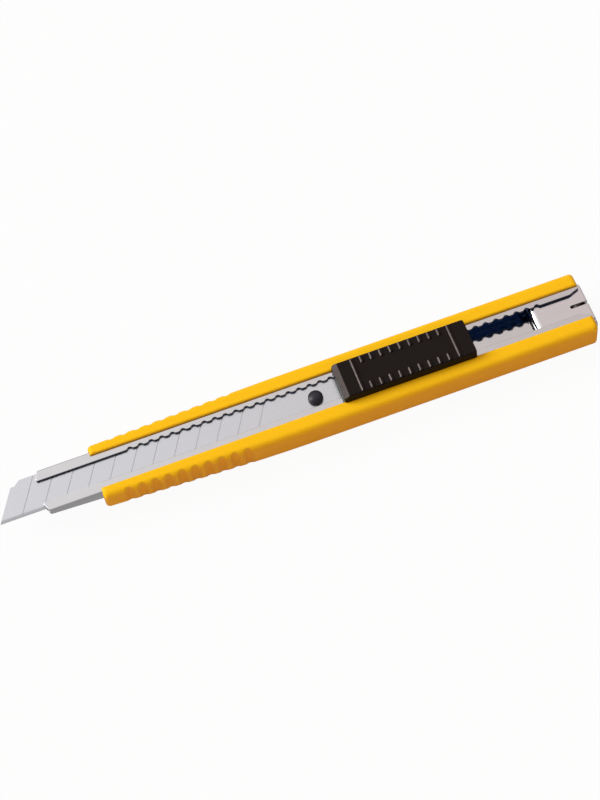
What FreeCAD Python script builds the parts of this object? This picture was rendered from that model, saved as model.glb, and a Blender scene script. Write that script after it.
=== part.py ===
"""Snap-off utility knife, 9 mm, with a self-locking slider: a parametric FreeCAD document.

Lengths are millimetres. Every piece is drawn with X running back from the mouth of the blade
channel, Y across (the cutting edge is on -Y) and Z up from the back of the handle. Its Placement
then moves it, so that the origin lies in the middle of the handle's back.
"""
import FreeCAD, Part
import os
import re

import Sketcher

SIZES = {
    # snap-off blade
    "blade_length": 81.5,
    "blade_width": 9.0,
    "blade_thickness": 0.38,
    "blade_gap": 0.12,            # under the lips
    "blade_side_gap": 0.5,
    "blade_shift": 0.4,           # towards the channel wall at its spine
    "score_angle": 60.0,          # degrees, between the cutting edge and a score line
    "segment_pitch": 5.0,
    "plain_tail": 18.0,           # unscored at least, at the rear end
    "score_width": 0.24,
    "score_depth": 0.12,
    "bevel_height": 0.95,         # ground bevel along the cutting edge
    "edge_thickness": 0.06,
    "tip_step": 1.15,             # step broken out of the tip's upper corner
    "tip_flat": 0.9,
    "tip_slope": 1.4,             # run of the step's slope, up to the spine
    "tail_corner": 0.8,
    "blade_hole": 3.5,            # diameter
    "hole_from_tail": 6.4,
    "hole_offset": 0.45,          # towards the cutting edge
    # folded steel channel
    "steel": 0.5,                 # sheet thickness
    "bend_radius": 0.25,          # inside a fold
    "channel_length": 130.2,
    "channel_depth": 4.0,         # outside, behind the beak
    "mouth_depth": 1.8,           # outside, at the mouth
    "beak_length": 26.0,
    "lip_opening": 5.6,
    "lip_setback": 1.15,          # mouth's outer corners behind its inner ones
    "lip_corner": 0.4,
    "lip_end_cut": 2.6,
    "lip_end_depth": 1.0,
    "tooth_start": 22.1,          # first notch of the locking teeth, from the mouth
    "tooth_pitch": 2.5,
    "tooth_count": 40,
    "tooth_depth": 0.5,
    "notch_radius": 0.68,
    "crest_radius": 0.7,
    # moulded handle
    "handle_start": 13.1,
    "handle_width": 16.1,
    "nose_width": 13.9,
    "handle_floor": 3.1,          # under the channel
    "nose_rise": 1.5,             # how far the back rises at the nose
    "taper_length": 49.0,
    "taper_blend": 18.0,          # part of the taper that curves into the straight sides
    "rim_height": 0.62,           # rims above the lips
    "rim_opening": 8.7,
    "seat_gap": 0.04,
    "back_round": 1.8,            # along the sides
    "rim_round": 1.3,
    "rim_inner_round": 0.3,
    "nose_round": 1.0,
    "rear_round": 0.9,
    "grip_start": 18.85,
    "grip_pitch": 3.06,
    "grip_count": 10,
    "grip_radius": 1.1,
    "grip_depth": 0.72,
    # slide button
    "boss_lead": 5.6,             # blade boss ahead of the button
    "button_length": 31.7,
    "button_width": 9.7,
    "button_top_width": 9.0,
    "button_height": 2.65,        # above the lips
    "button_nose": 1.3,           # length of the sloping front
    "button_nose_drop": 0.6,
    "rim_gap": 0.13,
    "rim_side_gap": 0.2,
    "lip_gap": 0.06,
    "button_corner": 0.55,
    "button_edge": 0.25,
    "rib_start": 7.0,             # first thumb rib behind the button's front
    "rib_pitch": 2.3125,
    "rib_count": 9,
    "rib_length": 1.65,
    "rib_width": 1.0,             # at its foot
    "rib_crest": 0.44,
    "rib_height": 0.28,
    "front_bar": 4.75,            # ribs across the whole top
    "rear_bar": 27.9,
    # blade carrier
    "carrier_thickness": 1.1,
    "carrier_lead": 2.6,          # plate ahead of the boss's axis
    "carrier_side_gap": 0.25,
    "boss_fit": 0.08,             # radial
    "boss_rise": 0.8,             # above the blade
    "neck_inset": 1.7,            # neck inside the button's ends
    "neck_height": 1.6,           # above the lips
    "neck_gap": 0.2,
    "socket_fit": 0.04,
    # detent spring
    "strip": 0.3,                 # thickness
    "strip_width": 0.5,
    "rest_notch": 21,             # notch that the nose rests in, counted from the front
    "nose_lead": 4.1,             # nose behind the button's front
    "nose_gap": 0.05,
    "nose_bend": 0.35,
    "foot_bend": 0.6,
    "spring_tail": 0.9,
    "spring_leg": 8.0,
    "hook_length": 1.3,
    "hook_bend": 0.45,
    "flex_room": 0.6,
    "bed_gap": 0.04,              # round the strip, and under the blade
    # end clip
    "tongue_length": 12.7,
    "tongue_width": 9.0,
    "tongue_gap": 0.3,
    "tongue_drop": 1.7,           # bent-down front of the tongue
    "end_gap": 0.3,
    "end_width": 11.4,
    "end_corner": 1.0,
    "snap_slot": 0.8,
    "snap_slot_length": 4.4,
    "snap_slot_drop": 2.4,        # slot carried on over the end
    "leaf_width": 7.0,
    "leaf_length": 38.0,
    "leaf_inset": 0.12,           # leaf's root above the rest face
    "leaf_gap": 0.12,             # leaf's hump under the recess
    "leaf_tip": 3.0,
    "leaf_kick": 0.75,
    "leaf_side_gap": 0.35,
    "recess_depth": 1.45,
    "clip_bend": 0.85,            # inside a bend of the clip
    "top_bend": 0.08,             # inside the bend over the end
}

# Places worked out from the sizes, as expressions.
ORIGIN_X = "((handle_start + channel_length) / 2)"
LIP_TOP = "(handle_floor + channel_depth)"
LIP_UNDER = f"({LIP_TOP} - steel)"
LIP_MIDDLE = f"({LIP_TOP} - steel / 2)"
RIM_TOP = f"({LIP_TOP} + rim_height)"
BORE_HALF = "(blade_width / 2 + blade_side_gap)"
CHANNEL_HALF = f"({BORE_HALF} + steel)"
LIP_EDGE = "(lip_opening / 2)"
CARRIER_TOP = f"({LIP_UNDER} - lip_gap)"
BLADE_TOP = f"({LIP_UNDER} - blade_gap)"
NOSE_X = "(tooth_start + rest_notch * tooth_pitch)"
BUTTON_X = f"({NOSE_X} - nose_lead)"
BOSS_X = f"({BUTTON_X} - boss_lead)"
BLADE_END = f"({BOSS_X} + hole_from_tail)"
BUTTON_END = f"({BUTTON_X} + button_length)"
BUTTON_TOP = f"({LIP_TOP} + button_height)"
BUTTON_UNDER = f"({LIP_TOP} + lip_gap)"
NECK_X = f"({BUTTON_X} + neck_inset)"
NECK_END = f"({BUTTON_END} - neck_inset)"
NECK_HALF = f"({LIP_EDGE} - neck_gap)"
NOSE_RISE = f"({LIP_EDGE} + tooth_depth - nose_gap - {NECK_HALF})"
STRIP_Y = f"({NECK_HALF} - strip / 2)"
CLIP_OUT = "(channel_length + end_gap + steel)"
CLIP_IN = "(channel_length + end_gap)"
TONGUE_TOP = f"({LIP_UNDER} - tongue_gap)"
BEYOND = "steel * 4"              # how far a cutter overshoots what it cuts


def make_sheet(document):
    """The spreadsheet of driving sizes, one aliased cell each."""
    cells = document.addObject("Spreadsheet::Sheet", "Sizes")
    for row, (alias, size) in enumerate(SIZES.items(), start=1):
        cells.set(f"A{row}", alias)
        cells.set(f"B{row}", str(size))
        cells.setAlias(f"B{row}", alias)
    document.recompute()
    return cells


doc = FreeCAD.newDocument("utility_knife")
sheet = make_sheet(doc)


def sized(expression):
    """The expression with each size's name pointed at the spreadsheet."""
    def point(match):
        word = match.group()
        return "Sizes." + word if word in SIZES else word
    return re.sub(r"[a-z_]+", point, expression)


def value_of(expression):
    """What the expression comes to."""
    return float(sheet.evalExpression(expression))


def new_body(label):
    """An empty body that stands in the knife's shared frame."""
    body = doc.addObject("PartDesign::Body", label)
    body.Label = label
    body.setExpression("Placement.Base.x", sized(f"-{ORIGIN_X}"))
    return body


def origin_item(body, role):
    return next(item for item in body.Origin.OriginFeatures if item.Role == role)


def new_sketch(body, name, plane, height="0"):
    """A sketch on an origin plane of the body, lifted along the plane's normal."""
    sketch = body.newObject("Sketcher::SketchObject", name)
    sketch.AttachmentSupport = [(origin_item(body, plane), "")]
    sketch.MapMode = "FlatFace"
    sketch.setExpression("AttachmentOffset.Base.z", sized(height))
    return sketch


def arc_between(start, end, radius):
    """An arc of that radius, bulging to the right of its way if positive, else to the left."""
    chord = end - start
    right = FreeCAD.Vector(chord.y, -chord.x, 0).normalize()
    height = abs(radius) - (radius ** 2 - chord.Length ** 2 / 4) ** 0.5
    side = 1 if radius > 0 else -1
    return Part.Arc(start, (start + end) * 0.5 + right * (side * height), end)


def hold(sketch, kind, expression, *where):
    """A dimension of the sketch, bound to the spreadsheet."""
    constraint = Sketcher.Constraint(kind, *where, value_of(expression))
    sketch.setExpression(f"Constraints[{sketch.addConstraint(constraint)}]", sized(expression))


def draw(sketch, corners, closed=True):
    """Edges through the corners: (x, y), or (x, y, radius) where the next edge is an arc."""
    places = [FreeCAD.Vector(value_of(corner[0]), value_of(corner[1]), 0) for corner in corners]
    ends = []
    for i in range(len(corners) if closed else len(corners) - 1):
        start = places[i]
        end = places[(i + 1) % len(places)]
        if len(corners[i]) == 3:
            radius = corners[i][2]
            edge = sketch.addGeometry(arc_between(start, end, value_of(radius)))
            hold(sketch, "Radius", f"abs({radius})", edge)
        else:
            edge = sketch.addGeometry(Part.LineSegment(start, end))
        forwards = (sketch.getPoint(edge, 1) - start).Length < 1e-6
        ends.append((edge, 1, 2) if forwards else (edge, 2, 1))
    for i, corner in enumerate(corners):
        if i < len(ends):
            edge, point = ends[i][0], ends[i][1]
        else:
            edge, point = ends[-1][0], ends[-1][2]
        hold(sketch, "DistanceX", corner[0], -1, 1, edge, point)
        hold(sketch, "DistanceY", corner[1], -1, 1, edge, point)
        if i < len(ends) and (i > 0 or closed):
            before, _, last = ends[i - 1]
            sketch.addConstraint(Sketcher.Constraint("Coincident", before, last, edge, point))


def draw_box(sketch, left, low, right, high):
    draw(sketch, [(left, low), (right, low), (right, high), (left, high)])


def draw_circle(sketch, across, up, diameter):
    """A circle at (across, up)."""
    centre = FreeCAD.Vector(value_of(across), value_of(up), 0)
    normal = FreeCAD.Vector(0, 0, 1)
    circle = sketch.addGeometry(Part.Circle(centre, normal, value_of(diameter) / 2))
    hold(sketch, "DistanceX", across, -1, 1, circle, 3)
    hold(sketch, "DistanceY", up, -1, 1, circle, 3)
    hold(sketch, "Diameter", diameter, circle)


def backwards(corners):
    """The same run of edges, drawn from its other end."""
    run = [corners[-1][:2]]
    for corner in reversed(corners[:-1]):
        if len(corner) == 3:
            run[-1] = (*run[-1], f"(-({corner[2]}))")
        run.append(corner[:2])
    return run


def wave(centre, base, height, peak_radius, foot_radius):
    """Corners of a rounded bump of that height on a base line, and its half width."""
    radii = f"({peak_radius} + {foot_radius})"
    half = f"sqrt(2 * {radii} * ({height}) - ({height})^2)"
    share = f"({peak_radius} / {radii})"
    level = f"({base} + {height} - {peak_radius} + ({radii} - ({height})) * {share})"
    corners = [
        (f"{centre} - {half}", base, foot_radius),
        (f"{centre} - {half} * {share}", level, f"-{peak_radius}"),
        (f"{centre} + {half} * {share}", level, foot_radius),
        (f"{centre} + {half}", base),
    ]
    return corners, half


def extrude(body, kind, sketch, length, way="up"):
    """Pad or Pocket the sketch: up or down its normal, or half each way."""
    feature = body.newObject(f"PartDesign::{kind}", f"{sketch.Name}_{kind.lower()}")
    feature.Profile = sketch
    feature.setExpression("Length", sized(length))
    feature.SideType = "Symmetric" if way == "both" else "One side"
    feature.Reversed = (way == "down") if kind == "Pad" else (way == "up")
    finish(body, feature)
    return feature


def finish(body, feature):
    """Make the feature the body's tip, and stop if it failed or changed nothing."""
    body.Tip = feature
    doc.recompute()
    before = feature.BaseFeature.Shape.Volume if feature.BaseFeature else 0.0
    if not feature.isValid() or abs(feature.Shape.Volume - before) < 1e-6:
        raise RuntimeError(f"{body.Label}: {feature.Name} does nothing: {feature.State}")


def repeat_along_x(body, original, pitch, count):
    """Copies of one feature at even steps along X."""
    pattern = body.newObject("PartDesign::LinearPattern", f"{original.Name}_row")
    pattern.Originals = [original]
    pattern.Direction = (origin_item(body, "X_Axis"), [""])
    pattern.setExpression("Length", sized(f"{pitch} * ({count} - 1)"))
    pattern.setExpression("Occurrences", sized(count))
    finish(body, pattern)


def round_edges(body, name, radius, wanted):
    """Fillet the edges of the body's tip that wanted accepts."""
    base = body.Tip
    names = [f"Edge{i}" for i, edge in enumerate(base.Shape.Edges, start=1) if wanted(edge)]
    if not names:
        raise RuntimeError(f"{body.Label}: {name} finds no edge")
    feature = body.newObject("PartDesign::Fillet", name)
    feature.Base = (base, names)
    feature.setExpression("Radius", sized(radius))
    finish(body, feature)


def near(value, expression):
    return abs(value - value_of(expression)) < 1e-4


def runs_along_x(edge):
    box = edge.BoundBox
    return box.XLength > 4 * max(box.YLength, box.ZLength)


def runs_across(edge):
    box = edge.BoundBox
    return box.YLength > 4 * max(box.XLength, box.ZLength)


def upright(edge):
    box = edge.BoundBox
    return box.ZLength > 1e-3 and max(box.XLength, box.YLength) < 1e-6


def channel_side(sketch, shrink, top, overshoot):
    """Side view of the channel with its bottom raised by shrink, up to top."""
    front = f"(-{overshoot})"
    slope = "((channel_depth - mouth_depth) / beak_length)"
    draw(sketch, [
        (front, top),
        (front, f"{LIP_TOP} - mouth_depth + {shrink} + {slope} * {overshoot}"),
        ("beak_length", f"{LIP_TOP} - channel_depth + {shrink}"),
        (f"channel_length + {overshoot}", f"{LIP_TOP} - channel_depth + {shrink}"),
        (f"channel_length + {overshoot}", top),
    ])


def blade_channel():
    """Stainless channel folded from sheet, with two lips; the teeth are cut in one lip."""
    body = new_body("blade_channel")
    outside = new_sketch(body, "channel_outside", "XZ_Plane")
    channel_side(outside, "0", LIP_TOP, "0")
    extrude(body, "Pad", outside, f"2 * {CHANNEL_HALF}", "both")
    round_edges(body, "outer_folds", "bend_radius + steel", runs_along_x)

    bore = new_sketch(body, "channel_bore", "XZ_Plane")
    channel_side(bore, "steel", LIP_UNDER, f"({BEYOND})")
    extrude(body, "Pocket", bore, f"2 * {BORE_HALF}", "both")
    round_edges(body, "inner_folds", "bend_radius",
                lambda edge: runs_along_x(edge) and near(abs(edge.CenterOfMass.y), BORE_HALF))

    slot = new_sketch(body, "lip_slot", "XY_Plane", LIP_MIDDLE)
    draw_box(slot, "-steel", f"-{LIP_EDGE}", "channel_length + steel", LIP_EDGE)
    extrude(body, "Pocket", slot, "2 * steel", "both")

    notch = new_sketch(body, "tooth_notch", "XY_Plane", LIP_MIDDLE)
    corners, half = wave("tooth_start", LIP_EDGE, "tooth_depth", "notch_radius", "crest_radius")
    corners.append((f"tooth_start + {half}", f"{LIP_EDGE} - steel"))
    corners.append((f"tooth_start - {half}", f"{LIP_EDGE} - steel"))
    draw(notch, corners)
    cut = extrude(body, "Pocket", notch, "2 * steel", "both")
    repeat_along_x(body, cut, "tooth_pitch", "tooth_count")

    mouth = new_sketch(body, "mouth_slant", "XY_Plane", LIP_TOP)
    ends = new_sketch(body, "lip_ends", "XY_Plane", LIP_MIDDLE)
    for side in ("", "-"):
        draw(mouth, [
            ("0", f"{side}{LIP_EDGE}"),
            ("lip_setback", f"{side}{CHANNEL_HALF}"),
            ("lip_setback", f"{side}({CHANNEL_HALF} + steel)"),
            ("-steel", f"{side}({CHANNEL_HALF} + steel)"),
            ("-steel", f"{side}{LIP_EDGE}"),
        ])
        draw(ends, [
            ("channel_length - lip_end_cut", f"{side}{LIP_EDGE}"),
            ("channel_length", f"{side}({LIP_EDGE} + lip_end_depth)"),
            ("channel_length + steel", f"{side}({LIP_EDGE} + lip_end_depth)"),
            ("channel_length + steel", f"{side}({LIP_EDGE} - steel)"),
            ("channel_length - lip_end_cut", f"{side}({LIP_EDGE} - steel)"),
        ])
    extrude(body, "Pocket", mouth, "2 * (channel_depth + steel)", "both")
    extrude(body, "Pocket", ends, "2 * steel", "both")
    round_edges(body, "lip_corners", "lip_corner",
                lambda edge: upright(edge) and abs(edge.CenterOfMass.x) < 1e-4
                and near(abs(edge.CenterOfMass.y), LIP_EDGE) and near(edge.CenterOfMass.z, LIP_MIDDLE))
    return body


def handle_shell():
    """Moulded U of tough plastic: it holds the channel under two rounded rims."""
    body = new_body("handle_shell")
    taper_end = "(handle_start + taper_length)"
    blend_start = f"({taper_end} - taper_blend)"

    def taper(drop):
        """Slope of a taper's straight part, its drop left at the blend, and the blend's radius."""
        slope = f"({drop} / (taper_length - taper_blend / 2))"
        left = f"({slope} * taper_blend / 2)"
        return slope, left, f"((taper_blend^2 + {left}^2) / (2 * {left}))"

    side_slope, side_left, side_radius = taper("((handle_width - nose_width) / 2)")
    plan = new_sketch(body, "handle_plan", "XY_Plane")
    draw(plan, [
        ("handle_start", "-nose_width / 2"),
        (blend_start, f"-(handle_width / 2 - {side_left})", side_radius),
        (taper_end, "-handle_width / 2"),
        ("channel_length", "-handle_width / 2"),
        ("channel_length", "handle_width / 2"),
        (taper_end, "handle_width / 2", side_radius),
        (blend_start, f"handle_width / 2 - {side_left}"),
        ("handle_start", "nose_width / 2"),
    ])
    extrude(body, "Pad", plan, RIM_TOP)

    _, back_left, back_radius = taper("nose_rise")
    belly = new_sketch(body, "back_rise", "XZ_Plane")
    draw(belly, [
        ("handle_start", "nose_rise"),
        (blend_start, back_left, back_radius),
        (taper_end, "0"),
        (taper_end, "-steel"),
        ("handle_start - steel", "-steel"),
        ("handle_start - steel", "nose_rise"),
    ])
    extrude(body, "Pocket", belly, "2 * handle_width", "both")
    round_edges(body, "back_edges", "back_round",
                lambda edge: runs_along_x(edge) and edge.CenterOfMass.z < value_of("nose_rise"))
    round_edges(body, "rim_outer_edges", "rim_round",
                lambda edge: runs_along_x(edge) and near(edge.CenterOfMass.z, RIM_TOP))
    for name, radius, end in (("nose_outline", "nose_round", "handle_start"),
                              ("rear_outline", "rear_round", "channel_length")):
        round_edges(body, name, radius,
                    lambda edge: near(edge.BoundBox.XMin, end) and near(edge.BoundBox.XMax, end))

    seat = new_sketch(body, "channel_seat", "XZ_Plane")
    channel_side(seat, "(-seat_gap)", f"{LIP_TOP} + seat_gap", f"({BEYOND})")
    extrude(body, "Pocket", seat, f"2 * ({CHANNEL_HALF} + seat_gap)", "both")

    opening = new_sketch(body, "rim_opening_section", "YZ_Plane")
    rounding = "(rim_opening / 2 + rim_inner_round)"
    draw(opening, [
        ("-rim_opening / 2", LIP_MIDDLE),
        ("rim_opening / 2", LIP_MIDDLE),
        ("rim_opening / 2", f"{RIM_TOP} - rim_inner_round", "-rim_inner_round"),
        (rounding, RIM_TOP),
        (rounding, f"{RIM_TOP} + {BEYOND}"),
        (f"-{rounding}", f"{RIM_TOP} + {BEYOND}"),
        (f"-{rounding}", RIM_TOP, "-rim_inner_round"),
        ("-rim_opening / 2", f"{RIM_TOP} - rim_inner_round"),
    ])
    extrude(body, "Pocket", opening, "2 * (channel_length + steel)", "both")

    recess = new_sketch(body, "clip_recess", "XY_Plane")
    recess_half = "(leaf_width / 2 + leaf_side_gap)"
    draw_box(recess, "channel_length - leaf_length - leaf_tip", f"-{recess_half}",
             "channel_length + steel", recess_half)
    extrude(body, "Pocket", recess, "recess_depth", "up")

    grips = new_sketch(body, "grip_grooves", "XY_Plane")
    for i in range(SIZES["grip_count"]):
        place = f"(grip_start + {i} * grip_pitch)"
        wall = f"(nose_width / 2 + {side_slope} * ({place} - handle_start))"
        for side in ("", "-"):
            draw_circle(grips, place, f"{side}({wall} + grip_radius - grip_depth)", "2 * grip_radius")
    extrude(body, "Pocket", grips, RIM_TOP, "up")
    return body


def snap_blade():
    """Hardened strip with a double bevel, scored to snap into segments."""
    body = new_body("snap_blade")
    lean = "(1 / tan(score_angle))"
    tip = f"({BLADE_END} - blade_length)"
    corner_x = f"({tip} + (blade_width - tip_step) * {lean})"
    edge = "(blade_shift - blade_width / 2)"
    spine = "(blade_shift + blade_width / 2)"
    plan = new_sketch(body, "blade_plan", "XY_Plane", BLADE_TOP)
    draw(plan, [
        (tip, edge),
        (f"{BLADE_END} - tail_corner", edge),
        (BLADE_END, f"{edge} + tail_corner"),
        (BLADE_END, f"{spine} - tail_corner"),
        (f"{BLADE_END} - tail_corner", spine),
        (f"{corner_x} + tip_flat + tip_slope", spine),
        (f"{corner_x} + tip_flat", f"{spine} - tip_step"),
        (corner_x, f"{spine} - tip_step"),
    ])
    extrude(body, "Pad", plan, "blade_thickness", "down")

    bevel = new_sketch(body, "edge_bevel", "YZ_Plane")
    middle = f"({BLADE_TOP} - blade_thickness / 2)"
    for side in ("+", "-"):
        face = f"{middle} {side} blade_thickness / 2"
        outside = f"{middle} {side} blade_thickness"
        ground = f"{middle} {side} edge_thickness / 2"
        draw(bevel, [
            (edge, ground),
            (f"{edge} + bevel_height", face),
            (f"{edge} + bevel_height", outside),
            (f"{edge} - steel", outside),
            (f"{edge} - steel", ground),
        ])
    extrude(body, "Pocket", bevel, f"2 * (blade_length + {BLADE_END})", "both")

    score = new_sketch(body, "score_line", "XY_Plane", BLADE_TOP)
    foot = f"({tip} + segment_pitch)"
    head = f"({foot} + blade_width * {lean})"
    draw(score, [
        (f"{foot} - score_width / 2", edge),
        (f"{foot} + score_width / 2", edge),
        (f"{head} + score_width / 2", spine),
        (f"{head} - score_width / 2", spine),
    ])
    cut = extrude(body, "Pocket", score, "score_depth", "down")
    scores = "floor((blade_length - plain_tail) / segment_pitch)"
    repeat_along_x(body, cut, "segment_pitch", scores)

    hole = new_sketch(body, "carrier_hole", "XY_Plane", BLADE_TOP)
    draw_circle(hole, BOSS_X, "-hole_offset", "blade_hole")
    extrude(body, "Pocket", hole, "2 * blade_thickness", "down")
    return body


def slide_button():
    """Moulded thumb button: it bridges the rims, and is ribbed for the thumb."""
    body = new_body("slide_button")
    foot_half = "(rim_opening / 2 - rim_side_gap)"
    shoulder = f"({RIM_TOP} + rim_gap)"
    section = new_sketch(body, "button_section", "YZ_Plane", BUTTON_X)
    draw(section, [
        (f"-{foot_half}", BUTTON_UNDER),
        (foot_half, BUTTON_UNDER),
        (foot_half, shoulder),
        ("button_width / 2", shoulder),
        ("button_top_width / 2", BUTTON_TOP),
        ("-button_top_width / 2", BUTTON_TOP),
        ("-button_width / 2", shoulder),
        (f"-{foot_half}", shoulder),
    ])
    extrude(body, "Pad", section, "button_length")

    round_edges(body, "button_corners", "button_corner",
                lambda edge: edge.BoundBox.XLength < 1e-6 and near(edge.BoundBox.ZMax, BUTTON_TOP)
                and near(edge.BoundBox.ZMin, shoulder))

    nose = new_sketch(body, "button_nose_slope", "XZ_Plane")
    draw(nose, [
        (BUTTON_X, f"{BUTTON_TOP} - button_nose_drop"),
        (f"{BUTTON_X} + button_nose", BUTTON_TOP),
        (f"{BUTTON_X} + button_nose", f"{BUTTON_TOP} + steel"),
        (f"{BUTTON_X} - steel", f"{BUTTON_TOP} + steel"),
        (f"{BUTTON_X} - steel", f"{BUTTON_TOP} - button_nose_drop"),
    ])
    extrude(body, "Pocket", nose, "2 * button_width", "both")
    round_edges(body, "top_edges", "button_edge",
                lambda edge: near(edge.BoundBox.ZMin, BUTTON_TOP) and near(edge.BoundBox.ZMax, BUTTON_TOP))

    def rib_section(sketch, start):
        """End view of a rib across the button: a crest between two sloping flanks."""
        middle = f"({BUTTON_X} + {start})"
        draw(sketch, [
            (f"{middle} - rib_width / 2", BUTTON_TOP),
            (f"{middle} + rib_width / 2", BUTTON_TOP),
            (f"{middle} + rib_crest / 2", f"{BUTTON_TOP} + rib_height"),
            (f"{middle} - rib_crest / 2", f"{BUTTON_TOP} + rib_height"),
        ])

    rib_end = "(button_top_width / 2 - button_edge)"
    rib = new_sketch(body, "thumb_rib", "XZ_Plane")
    rib_section(rib, "rib_start")
    ribs = extrude(body, "Pad", rib, f"2 * {rib_end}", "both")
    repeat_along_x(body, ribs, "rib_pitch", "rib_count")

    clearing = new_sketch(body, "rib_clearing", "XY_Plane", BUTTON_TOP)
    draw_box(clearing, f"{BUTTON_X} + rib_start - rib_width", f"rib_length - {rib_end}",
             f"{BUTTON_X} + rib_start + rib_pitch * rib_count", f"{rib_end} - rib_length")
    extrude(body, "Pocket", clearing, "2 * rib_height", "up")

    bars = new_sketch(body, "cross_ribs", "XZ_Plane")
    rib_section(bars, "front_bar")
    rib_section(bars, "rear_bar")
    extrude(body, "Pad", bars, f"2 * {rib_end}", "both")

    socket = new_sketch(body, "neck_socket", "XY_Plane", BUTTON_UNDER)
    draw_box(socket, f"{NECK_X} - socket_fit", f"-({NECK_HALF} + socket_fit)",
             f"{NECK_END} + socket_fit", f"{NECK_HALF} + socket_fit")
    extrude(body, "Pocket", socket, "neck_height - lip_gap + socket_fit", "up")
    return body


def blade_carrier():
    """Slide under the lips: a shelf and boss for the blade, and a neck that the button grips."""
    body = new_body("blade_carrier")
    half = f"({BORE_HALF} - carrier_side_gap)"
    front = f"({BOSS_X} - carrier_lead)"
    plate = new_sketch(body, "carrier_plate", "XY_Plane", CARRIER_TOP)
    draw_box(plate, front, f"-{half}", f"{BUTTON_END} - neck_inset / 2", half)
    extrude(body, "Pad", plate, "carrier_thickness", "down")

    shelf = new_sketch(body, "blade_shelf", "XY_Plane", CARRIER_TOP)
    draw_box(shelf, f"{front} - steel", f"-{half} - steel", f"{BLADE_END} + bed_gap", f"{half} + steel")
    extrude(body, "Pocket", shelf, "blade_gap - lip_gap + blade_thickness + bed_gap", "down")

    boss = new_sketch(body, "blade_boss", "XY_Plane", f"{BLADE_TOP} + boss_rise")
    draw_circle(boss, BOSS_X, "-hole_offset", "blade_hole - 2 * boss_fit")
    extrude(body, "Pad", boss, "boss_rise - blade_gap + lip_gap + carrier_thickness", "down")

    neck = new_sketch(body, "carrier_neck", "XY_Plane", f"{LIP_TOP} + neck_height")
    neck_height = "(neck_height + steel + lip_gap)"
    draw_box(neck, NECK_X, f"-{NECK_HALF}", NECK_END, NECK_HALF)
    extrude(body, "Pad", neck, f"{neck_height} + steel", "down")

    groove = new_sketch(body, "spring_groove", "XY_Plane", f"{LIP_TOP} + neck_height")
    bed = f"({NECK_HALF} - strip - bed_gap)"
    hook_x = f"({NOSE_X} + spring_leg + hook_bend)"
    open_side = f"{NECK_HALF} + steel"
    draw(groove, [
        (f"{NECK_X} - steel", open_side),
        (f"{NECK_X} - steel", f"{bed} - flex_room"),
        (f"{NOSE_X} + nose_bend + foot_bend", f"{bed} - flex_room"),
        (f"{NOSE_X} + spring_leg / 2", bed),
        (f"{hook_x} - strip - hook_bend / 2", bed),
        (f"{hook_x} - strip / 2 - bed_gap", f"{bed} - hook_bend / 2"),
        (f"{hook_x} - strip / 2 - bed_gap", f"{STRIP_Y} - hook_length - bed_gap"),
        (f"{hook_x} + strip / 2 + bed_gap", f"{STRIP_Y} - hook_length - bed_gap"),
        (f"{hook_x} + strip / 2 + bed_gap", open_side),
    ])
    extrude(body, "Pocket", groove, neck_height, "down")
    return body


def lock_spring():
    """Spring strip hooked into the neck, its nose resting in a notch of the toothed lip."""
    body = new_body("lock_spring")
    edge = new_sketch(body, "strip_edge", "XY_Plane", LIP_MIDDLE)
    hook_x = f"({NOSE_X} + spring_leg + hook_bend)"

    def face(side):
        """One face of the strip, from its tail over the nose and round the hook."""
        shift = f"({side} * strip / 2)"
        level = f"({STRIP_Y} + {shift})"
        nose, half = wave(NOSE_X, level, NOSE_RISE,
                          f"(nose_bend + {shift})", f"(foot_bend - {shift})")
        return [
            (f"{NOSE_X} - {half} - spring_tail", level),
            *nose,
            (f"{NOSE_X} + spring_leg", level, f"-(hook_bend + {shift})"),
            (f"{hook_x} + {shift}", f"{STRIP_Y} - hook_bend"),
            (f"{hook_x} + {shift}", f"{STRIP_Y} - hook_length"),
        ]

    draw(edge, face(1) + backwards(face(-1)))
    extrude(body, "Pad", edge, "strip_width", "both")
    return body


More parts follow.
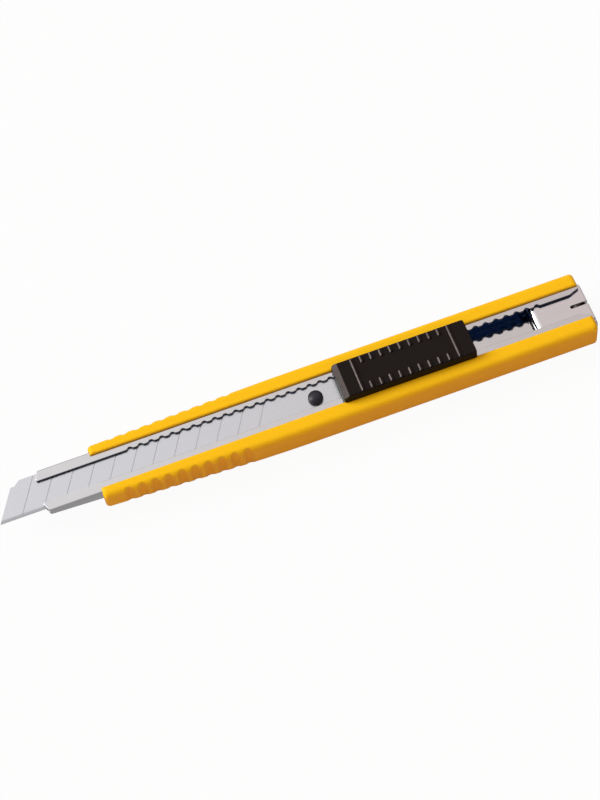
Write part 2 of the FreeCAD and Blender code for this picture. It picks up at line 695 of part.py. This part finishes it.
def end_clip():
    """Steel clip pushed onto the rear end: tongue, end wall with a snapping slot, pocket leaf."""
    body = new_body("end_clip")
    tongue_x = "(channel_length - tongue_length)"
    hump = "(recess_depth - leaf_gap)"
    hump_x = "(channel_length - leaf_length + leaf_tip)"
    tip_x = "(channel_length - leaf_length)"
    side = new_sketch(body, "clip_side", "XZ_Plane")
    draw(side, [
        (tongue_x, f"{TONGUE_TOP} - tongue_drop"),
        (tongue_x, TONGUE_TOP),
        (CLIP_OUT, TONGUE_TOP),
        (CLIP_OUT, "leaf_inset"),
        (hump_x, f"{hump} - steel"),
        (tip_x, f"{hump} - steel - leaf_kick"),
        (tip_x, f"{hump} - leaf_kick"),
        (hump_x, hump),
        (CLIP_IN, "leaf_inset + steel"),
        (CLIP_IN, f"{TONGUE_TOP} - steel"),
        (f"{tongue_x} + steel", f"{TONGUE_TOP} - steel"),
        (f"{tongue_x} + steel", f"{TONGUE_TOP} - tongue_drop"),
    ])
    extrude(body, "Pad", side, "end_width", "both")

    def bend_at(x, z):
        return lambda edge: (runs_across(edge) and near(edge.CenterOfMass.x, x)
                             and near(edge.CenterOfMass.z, z))

    for name, radius, x, z in (
        ("tongue_bend_out", "clip_bend + steel", tongue_x, TONGUE_TOP),
        ("tongue_bend_in", "clip_bend", f"{tongue_x} + steel", f"{TONGUE_TOP} - steel"),
        ("top_bend_out", "top_bend + steel", CLIP_OUT, TONGUE_TOP),
        ("top_bend_in", "top_bend", CLIP_IN, f"{TONGUE_TOP} - steel"),
        ("back_bend_out", "clip_bend + steel", CLIP_OUT, "leaf_inset"),
        ("back_bend_in", "clip_bend", CLIP_IN, "leaf_inset + steel"),
        ("hump_out", "2 * clip_bend", hump_x, hump),
        ("hump_in", "2 * clip_bend + steel", hump_x, f"{hump} - steel"),
    ):
        round_edges(body, name, radius, bend_at(x, z))

    narrow = new_sketch(body, "tongue_sides", "XY_Plane", TONGUE_TOP)
    leaf = new_sketch(body, "leaf_sides", "XY_Plane")
    wall = new_sketch(body, "end_wall_corners", "YZ_Plane", CLIP_OUT)
    wide = "(end_width / 2 + steel)"
    for sign in ("", "-"):
        draw_box(narrow, f"{tongue_x} - steel", f"{sign}(tongue_width / 2)", CLIP_IN, f"{sign}{wide}")
        draw_box(leaf, f"{tip_x} - steel", f"{sign}(leaf_width / 2)", CLIP_IN, f"{sign}{wide}")
        draw_box(wall, f"{sign}(tongue_width / 2)", f"{TONGUE_TOP} - top_bend - steel",
                 f"{sign}{wide}", f"{TONGUE_TOP} + steel")
        draw_box(wall, f"{sign}(leaf_width / 2)", "-steel",
                 f"{sign}{wide}", "leaf_inset + steel + clip_bend")
    extrude(body, "Pocket", narrow, "2 * (tongue_drop + steel)", "both")
    extrude(body, "Pocket", leaf, "2 * (recess_depth + steel)", "both")
    extrude(body, "Pocket", wall, "4 * steel", "both")
    ledge = "((end_width - max(tongue_width, leaf_width)) / 2)"
    round_edges(body, "end_wall_rounds", f"min(end_corner, {ledge} * 0.9)",
                lambda edge: near(abs(edge.CenterOfMass.y), "end_width / 2")
                and near(edge.BoundBox.XLength, "steel") and edge.BoundBox.ZLength < 1e-6)

    slot = new_sketch(body, "snap_slot_plan", "XY_Plane", f"{TONGUE_TOP} + steel")
    slot_x = f"({CLIP_OUT} - snap_slot_length + snap_slot / 3)"
    draw(slot, [
        (f"{CLIP_OUT} + steel", "-snap_slot / 2"),
        (f"{CLIP_OUT} + steel", "snap_slot / 2"),
        (slot_x, "snap_slot / 2", "snap_slot * 0.55"),
        (slot_x, "-snap_slot / 2"),
    ])
    extrude(body, "Pocket", slot, "snap_slot_drop + steel", "down")
    return body


def check_document():
    """Stop if any object of the document failed."""
    doc.recompute()
    for item in doc.Objects:
        if "Invalid" in item.State or "Error" in item.State:
            raise RuntimeError(f"{item.Name} is {item.State}")


def export(bodies):
    """Write each sound body to parts/, under its own name."""
    check_document()
    for body in bodies:
        if body.Shape.isNull() or not body.Shape.isValid() or len(body.Shape.Solids) != 1:
            raise RuntimeError(f"{body.Label} is not one valid solid")
    os.makedirs("parts", exist_ok=True)
    for body in bodies:
        body.Shape.exportStep(f"parts/{body.Label}.step")
        box = body.Shape.BoundBox
        print(f"{body.Label}: {body.Shape.Volume:.1f} mm3, X {box.XMin:.2f} to {box.XMax:.2f},"
              f" Y {box.YMin:.2f} to {box.YMax:.2f}, Z {box.ZMin:.2f} to {box.ZMax:.2f}")


export([
    handle_shell(),
    blade_channel(),
    snap_blade(),
    slide_button(),
    blade_carrier(),
    lock_spring(),
    end_clip(),
])
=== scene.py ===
"""Slim 9 mm snap-off utility knife: the finish of its pieces, and a plain studio around it."""
import math

import bmesh
import bpy
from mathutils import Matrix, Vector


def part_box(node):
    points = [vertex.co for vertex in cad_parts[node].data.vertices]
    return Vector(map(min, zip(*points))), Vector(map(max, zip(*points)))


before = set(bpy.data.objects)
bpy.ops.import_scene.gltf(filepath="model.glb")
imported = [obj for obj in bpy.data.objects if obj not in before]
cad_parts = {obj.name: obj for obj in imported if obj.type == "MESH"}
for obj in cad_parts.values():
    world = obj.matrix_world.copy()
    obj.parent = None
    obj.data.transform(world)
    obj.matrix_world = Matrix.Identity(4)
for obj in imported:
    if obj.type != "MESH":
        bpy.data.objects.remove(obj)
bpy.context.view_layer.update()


# Handle: a single moulding of tough yellow plastic, satin where the mould was lightly blasted.
# It grips the steel channel under its two rounded rims. The yellow is painted deeper and darker
# down its sides, a painted shade, and is rubbed along its edges.
def add_node(material, kind, sockets, **settings):
    """A shader node with its sockets set to values or joined to other nodes' outputs."""
    made = material.node_tree.nodes.new("ShaderNode" + kind)
    for name, setting in settings.items():
        setattr(made, name, setting)
    for socket, value in sockets.items():
        if isinstance(value, bpy.types.NodeSocket):
            material.node_tree.links.new(value, made.inputs[socket])
        else:
            made.inputs[socket].default_value = value
    return made


def calculate(material, operation, first, second=0.0):
    """One step of arithmetic on plain numbers or nodes' outputs."""
    return add_node(material, "Math", {0: first, 1: second}, operation=operation).outputs[0]


def multiply(material, first, second):
    """Two colours or places multiplied part by part; a number counts for all three parts."""
    product = add_node(material, "VectorMath", {0: first, 1: second}, operation="MULTIPLY")
    return product.outputs[0]


def part_of(material, vector, axis):
    """The X, Y or Z of a place or a direction."""
    return add_node(material, "SeparateXYZ", {"Vector": vector}).outputs[axis]


def ramp(material, value, start, end, lowest=0.0, highest=1.0, curve="LINEAR"):
    """A number that runs from lowest to highest while the value runs from start to end."""
    return add_node(material, "MapRange", {"Value": value, "From Min": start, "From Max": end,
                                           "To Min": lowest, "To Max": highest},
                    interpolation_type=curve).outputs["Result"]


def spread_between(material, noise, lowest, highest):
    """The noise carried from its middle range to run from lowest to highest."""
    return ramp(material, noise, 0.3, 0.7, lowest, highest)


def tint(material, share, first, second):
    """A colour that goes from first to second, each a colour or a node's output."""
    ends = [end if isinstance(end, bpy.types.NodeSocket) else (*end, 1) for end in (first, second)]
    mix = add_node(material, "Mix", {"Factor": share, "A": ends[0], "B": ends[1]},
                   data_type="RGBA")
    return mix.outputs["Result"]


def new_finish(name, **shader_values):
    """A material with its surface shader, and the piece's own coordinates in metres."""
    material = bpy.data.materials.new(name)
    material.use_nodes = True
    shader = material.node_tree.nodes["Principled BSDF"]
    for socket, value in shader_values.items():
        shader.inputs[socket.replace("_", " ")].default_value = value
    place = add_node(material, "TexCoord", {}).outputs["Object"]
    return material, shader, place


def grain(material, place, size, stretch=(1, 1, 1)):
    """Noise whose grains are about that size in metres, longer where stretch is larger."""
    scale = [1 / (size * longer) for longer in stretch]
    spread = add_node(material, "Mapping", {"Vector": place, "Scale": scale})
    noise = add_node(material, "TexNoise", {"Vector": spread.outputs["Vector"],
                                            "Scale": 1.0, "Detail": 3.0})
    return noise.outputs["Fac"]


def edge_wear(material, noise, reach):
    """Patchy wear: up to 1 within that reach in metres of the piece's edges, 0 on its faces."""
    hardly_turned, well_turned = 0.99, 0.85
    rounded = add_node(material, "Bevel", {"Radius": reach}, samples=6).outputs["Normal"]
    flat = add_node(material, "NewGeometry", {}).outputs["Normal"]
    alike = add_node(material, "VectorMath", {0: rounded, 1: flat}, operation="DOT_PRODUCT")
    near_edge = ramp(material, alike.outputs["Value"], hardly_turned, well_turned)
    return calculate(material, "MULTIPLY", near_edge, noise)


def cover(material, shader, **outputs):
    """Join nodes' outputs to the surface shader's sockets of those names."""
    for socket, output in outputs.items():
        material.node_tree.links.new(output, shader.inputs[socket.replace("_", " ")])


def emboss(material, shader, height, depth, rounding):
    """Height as bumps of that depth, over edges shaded as if rounded, both in metres."""
    rounded = add_node(material, "Bevel", {"Radius": rounding}, samples=8).outputs["Normal"]
    bump = add_node(material, "Bump", {"Height": height, "Strength": 1.0, "Distance": depth,
                                       "Normal": rounded})
    cover(material, shader, Normal=bump.outputs["Normal"])


def dress(node_name, material):
    """Give a CAD node its finish."""
    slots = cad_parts[node_name].data.materials
    slots.clear()
    slots.append(material)


duller_yellow, brighter_yellow = (0.90, 0.54, 0.005), (0.94, 0.58, 0.007)
unchanged, painted_side_shade = (1.0, 1.0, 1.0), (1.0, 0.75, 0.9)
most_side_shade = 0.85
rubbed_yellow = (0.97, 0.56, 0.03)
rim_level, side_level = 0.0077, 0.0062

yellow, shader, place = new_finish("yellow_plastic", Specular_IOR_Level=0.17)
mottle = grain(yellow, place, size=0.006)
blasting = grain(yellow, place, size=0.00012)
mottled = tint(yellow, mottle, duller_yellow, brighter_yellow)
# Painted shade: the yellow is made deeper and darker from the rim tops down the sides, and moulded
# carries it.
side_shade_share = ramp(yellow, part_of(yellow, place, "Z"), rim_level, side_level,
                 highest=most_side_shade)
moulded = multiply(yellow, mottled, tint(yellow, side_shade_share, unchanged, painted_side_shade))
surface_colour = tint(yellow, edge_wear(yellow, mottle, reach=0.0004), moulded, rubbed_yellow)
cover(yellow, shader, Base_Color=surface_colour, Roughness=spread_between(yellow, blasting, 0.4, 0.5))
emboss(yellow, shader, blasting, depth=0.000004, rounding=0.0008)
dress("handle_shell", yellow)


# Channel: stainless sheet folded into a trough, with its lips over the blade. Cold rolling leaves
# faint streaks along it. The inside of the fold is painted dark blue and its sheared edges nearly
# black: painted shade and painted reflection, standing in for the dark that bright steel mirrors
# in there.
duller_steel, brighter_steel = (0.66, 0.65, 0.66), (0.72, 0.71, 0.72)
rubbed_steel = (0.9, 0.9, 0.9)
painted_fold_reflection, shadowed_edge = (0.10, 0.20, 0.42), (0.008, 0.014, 0.032)
fold_half_width = 0.00502
below_lip_top = 0.00702
above_lip_underside = (0.00661, 0.00663)
beak_end = (-0.0457, -0.0456)
painted_dark_foot_in_beak, painted_dark_foot_behind = 0.006, 0.0038

channel_steel, shader, place = new_finish("channel_steel", Metallic=1.0)
streaks = grain(channel_steel, place, size=0.00012, stretch=(60, 1, 1))
cloud = grain(channel_steel, place, size=0.004)
bare = tint(channel_steel, cloud, duller_steel, brighter_steel)
surface_colour = tint(channel_steel, edge_wear(channel_steel, cloud, reach=0.0002), bare, rubbed_steel)
level = part_of(channel_steel, place, "Z")
off_centre = calculate(channel_steel, "ABSOLUTE", part_of(channel_steel, place, "Y"))
painted_dark_foot = ramp(channel_steel, part_of(channel_steel, place, "X"), *beak_end,
                 painted_dark_foot_in_beak, painted_dark_foot_behind)
# Painted shade and painted reflection: inside the fold, dark blue below the lips and nearly black
# on the sheared edges.
painted_fold_shade = 1.0
for comparison, measured, bound in (("LESS_THAN", off_centre, fold_half_width),
                                    ("LESS_THAN", level, below_lip_top),
                                    ("GREATER_THAN", level, painted_dark_foot)):
    holds = calculate(channel_steel, comparison, measured, bound)
    painted_fold_shade = calculate(channel_steel, "MULTIPLY", painted_fold_shade, holds)
on_edge = ramp(channel_steel, level, *above_lip_underside)
painted_dark = tint(channel_steel, on_edge, painted_fold_reflection, shadowed_edge)
cover(channel_steel, shader, Base_Color=tint(channel_steel, painted_fold_shade, surface_colour, painted_dark),
      Roughness=spread_between(channel_steel, streaks, 0.06, 0.11))
emboss(channel_steel, shader, streaks, depth=0.000001, rounding=0.0002)
dress("blade_channel", channel_steel)


# Blade: hardened strip, rolled bright on its faces. The ground bevel and the score lines lie below
# the faces, and are painted darker: painted shade. It lies on the carrier, with its hole over the
# boss.
duller_polish, brighter_polish = (0.645, 0.655, 0.69), (0.705, 0.715, 0.75)
painted_bevel_shade, painted_score_shade = 0.68, 0.84
on_bevel, past_bevel = 0.0007, 0.0009       # in from the cutting edge
cut_share, face_share = 0.6, 0.95           # of the half thickness

blade_steel, shader, place = new_finish("blade_steel", Metallic=1.0)
polish = grain(blade_steel, place, size=0.0001, stretch=(40, 1, 1))
polished = tint(blade_steel, polish, duller_polish, brighter_polish)
low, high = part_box("snap_blade")
half_thickness = (high[2] - low[2]) / 2
# Painted shade: whatever lies below the faces, the bevel and the score lines, is made darker.
above_middle = calculate(blade_steel, "SUBTRACT", part_of(blade_steel, place, "Z"),
                         low[2] + half_thickness)
off_middle = calculate(blade_steel, "ABSOLUTE", above_middle)
painted_cut_shade = ramp(blade_steel, part_of(blade_steel, place, "Y"), low[1] + on_bevel,
                 low[1] + past_bevel, painted_bevel_shade, painted_score_shade)
painted_depth_shade = ramp(blade_steel, off_middle, cut_share * half_thickness, face_share * half_thickness,
             lowest=painted_cut_shade)
cover(blade_steel, shader, Base_Color=multiply(blade_steel, polished, painted_depth_shade),
      Roughness=spread_between(blade_steel, polish, 0.2, 0.3))
dress("snap_blade", blade_steel)


# Thumb button: a black moulding plugged onto the carrier's neck, over the channel's lips.
# Its mould was evenly sparked. Its front slope and the front flanks of its ribs are painted pale
# in patches: a painted highlight.
darker_black, lighter_black = (0.004, 0.002, 0.0015), (0.008, 0.0045, 0.0035)
highlight_grey = (0.3, 0.27, 0.26)
below_slope, on_slope = 0.00912, 0.0092
hardly_forward, well_forward = -0.2, -0.7

black, shader, place = new_finish("black_plastic", Specular_IOR_Level=0.14)
spark = grain(black, place, size=0.00015)
highlight_and_roughness_patches = grain(black, place, size=0.003)
moulded = tint(black, spark, darker_black, lighter_black)
outward = add_node(black, "NewGeometry", {}).outputs["Normal"]
# Painted highlight: the forward-facing flanks high on the button are made pale in patches.
on_top = ramp(black, part_of(black, place, "Z"), below_slope, on_slope)
faces_forward = ramp(black, part_of(black, outward, "X"), hardly_forward, well_forward)
forward_highlight_mask = calculate(black, "MULTIPLY", on_top, faces_forward)
surface_colour = tint(black, calculate(black, "MULTIPLY", forward_highlight_mask, highlight_and_roughness_patches), moulded, highlight_grey)
cover(black, shader, Base_Color=surface_colour, Roughness=spread_between(black, highlight_and_roughness_patches, 0.36, 0.46))
emboss(black, shader, spark, depth=0.00001, rounding=0.00015)
dress("slide_button", black)


# Carrier: a dark moulding that slides under the channel's lips. Its boss goes up through the
# hole in the blade and holds it; the boss's flat top is shaded as a low dome.
darker_slide, lighter_slide = (0.007, 0.008, 0.014), (0.012, 0.013, 0.021)
boss_axis, dome_radius = (-0.00675, -0.00045, 0), 0.0017
dome_fall = -240.0                          # metres for each square metre off the axis

carrier, shader, place = new_finish("carrier_plastic", Roughness=0.35, Specular_IOR_Level=0.4)
cloud = grain(carrier, place, size=0.0003)
cover(carrier, shader, Base_Color=tint(carrier, cloud, darker_slide, lighter_slide))
in_plan = multiply(carrier, place, (1, 1, 0))
off_axis = add_node(carrier, "VectorMath", {0: in_plan, 1: boss_axis}, operation="DISTANCE")
radius = calculate(carrier, "MINIMUM", off_axis.outputs["Value"], dome_radius)
dome = calculate(carrier, "MULTIPLY", calculate(carrier, "POWER", radius, 2.0), dome_fall)
emboss(carrier, shader, dome, depth=1.0, rounding=0.0001)
dress("blade_carrier", carrier)


# Detent spring: hardened spring strip, rolled bright, pressed into the carrier.
# Its bent nose drops into the notches of the toothed lip.
duller_strip, brighter_strip = (0.5, 0.5, 0.52), (0.6, 0.6, 0.62)

strip, shader, place = new_finish("spring_steel", Metallic=1.0)
rolled = grain(strip, place, size=0.00005, stretch=(20, 1, 1))
cover(strip, shader, Base_Color=tint(strip, rolled, duller_strip, brighter_strip),
      Roughness=spread_between(strip, rolled, 0.22, 0.34))
emboss(strip, shader, rolled, depth=0.000001, rounding=0.00005)
dress("lock_spring", strip)


# End clip: stainless sheet with rolling streaks along it, bent over the handle's rear end.
# It pushes on by hand, and its leaf lies in the recess of the handle's back.
duller_clip, brighter_clip = (0.71, 0.685, 0.695), (0.79, 0.765, 0.775)

clip_steel, shader, place = new_finish("clip_steel", Metallic=1.0)
streaks = grain(clip_steel, place, size=0.00012, stretch=(60, 1, 1))
cover(clip_steel, shader, Base_Color=tint(clip_steel, streaks, duller_clip, brighter_clip),
      Roughness=spread_between(clip_steel, streaks, 0.12, 0.2))
emboss(clip_steel, shader, streaks, depth=0.000001, rounding=0.0001)
dress("end_clip", clip_steel)


# Studio: a pale floor, and a soft box above and to the left, at the back. Steel mirrors not the
# box but a glow there in the surround, which dims towards the front, warms to the right and adds
# a warm fill. Floor and surround are plain white to the camera.
def bring_in(name, data):
    """A new object in the scene, for that mesh, lamp or camera."""
    made = bpy.data.objects.new(name, data)
    bpy.context.scene.collection.objects.link(made)
    return made


plain_white = (1.0, 1.0, 1.0)
matt_white = (0.75, 0.75, 0.76)
seen_white = 0.95                           # share of the floor that is plain white to the camera
mirrored_floor = 0.38                       # the white floor's strength in reflections

mesh = bpy.data.meshes.new("floor")
sheet = bmesh.new()
bmesh.ops.create_grid(sheet, x_segments=1, y_segments=1, size=3.0)
sheet.to_mesh(mesh)
sheet.free()
floor = bring_in("floor", mesh)
pale = bpy.data.materials.new("pale_floor")
pale.use_nodes = True
pale.node_tree.nodes.clear()
ray = add_node(pale, "LightPath", {}).outputs
strength = ramp(pale, ray["Is Glossy Ray"], 0.0, 1.0, 1.0, mirrored_floor)
share = add_node(pale, "Math", {0: ray["Is Camera Ray"], 1: seen_white,
                                2: ray["Is Glossy Ray"]}, operation="MULTIPLY_ADD")
matt = add_node(pale, "BsdfDiffuse", {"Color": (*matt_white, 1)})
white = add_node(pale, "Emission", {"Color": (*plain_white, 1), "Strength": strength})
both = add_node(pale, "MixShader", {0: share.outputs[0], 1: matt.outputs[0],
                                    2: white.outputs[0]})
add_node(pale, "OutputMaterial", {"Surface": both.outputs[0]})
mesh.materials.append(pale)

warm_side = (0.72, 0.635, 0.62)
warm_fill = (0.55, 0.4, 0.355)
right_from, right_to = -0.15, 0.35
front, back, front_light = -0.35, 0.2, 0.4
glow_direction = (-0.72, 0.42, 0.55)
glow_rim, glow_middle, glow_strength = 0.93, 0.98, 7.0

world = bpy.data.worlds.new("studio")
bpy.context.scene.world = world
world.use_nodes = True
ray = add_node(world, "LightPath", {}).outputs
direction = add_node(world, "TexCoord", {}).outputs["Generated"]
to_right = ramp(world, part_of(world, direction, "X"), right_from, right_to,
                curve="SMOOTHSTEP")
to_back = ramp(world, part_of(world, direction, "Y"), front, back, front_light,
               curve="SMOOTHSTEP")
to_lamp = add_node(world, "VectorMath", {0: direction, 1: glow_direction},
                   operation="DOT_PRODUCT").outputs["Value"]
glow = ramp(world, to_lamp, glow_rim, glow_middle, 1.0, glow_strength)
light = calculate(world, "MULTIPLY", glow, to_back)
mirrored = multiply(world, tint(world, to_right, plain_white, warm_side), light)
surround = tint(world, ray["Is Diffuse Ray"], mirrored, warm_fill)
backdrop = tint(world, ray["Is Camera Ray"], surround, plain_white)
world.node_tree.links.new(backdrop, world.node_tree.nodes["Background"].inputs["Color"])

lamp = bpy.data.lights.new("soft_box", "AREA")
lamp.shape = "RECTANGLE"
lamp.size = lamp.size_y = 1.12
lamp.energy = 16.9
soft_box = bring_in("soft_box", lamp)
soft_box.location = (-1.2, 0.56, 0.9)
soft_box.rotation_euler = soft_box.location.to_track_quat("Z", "Y").to_euler()
soft_box.visible_glossy = False

camera = bpy.data.cameras.new("camera")
camera.lens = 94.76
camera.clip_start = 0.01
viewpoint = bring_in("camera", camera)
viewpoint.location = (-0.05656, -0.22194, 0.41969)
viewpoint.rotation_euler = [math.radians(angle) for angle in (28.511, 4.305, -19.654)]
bpy.context.scene.camera = viewpoint
bpy.context.scene.view_settings.view_transform = "Standard"
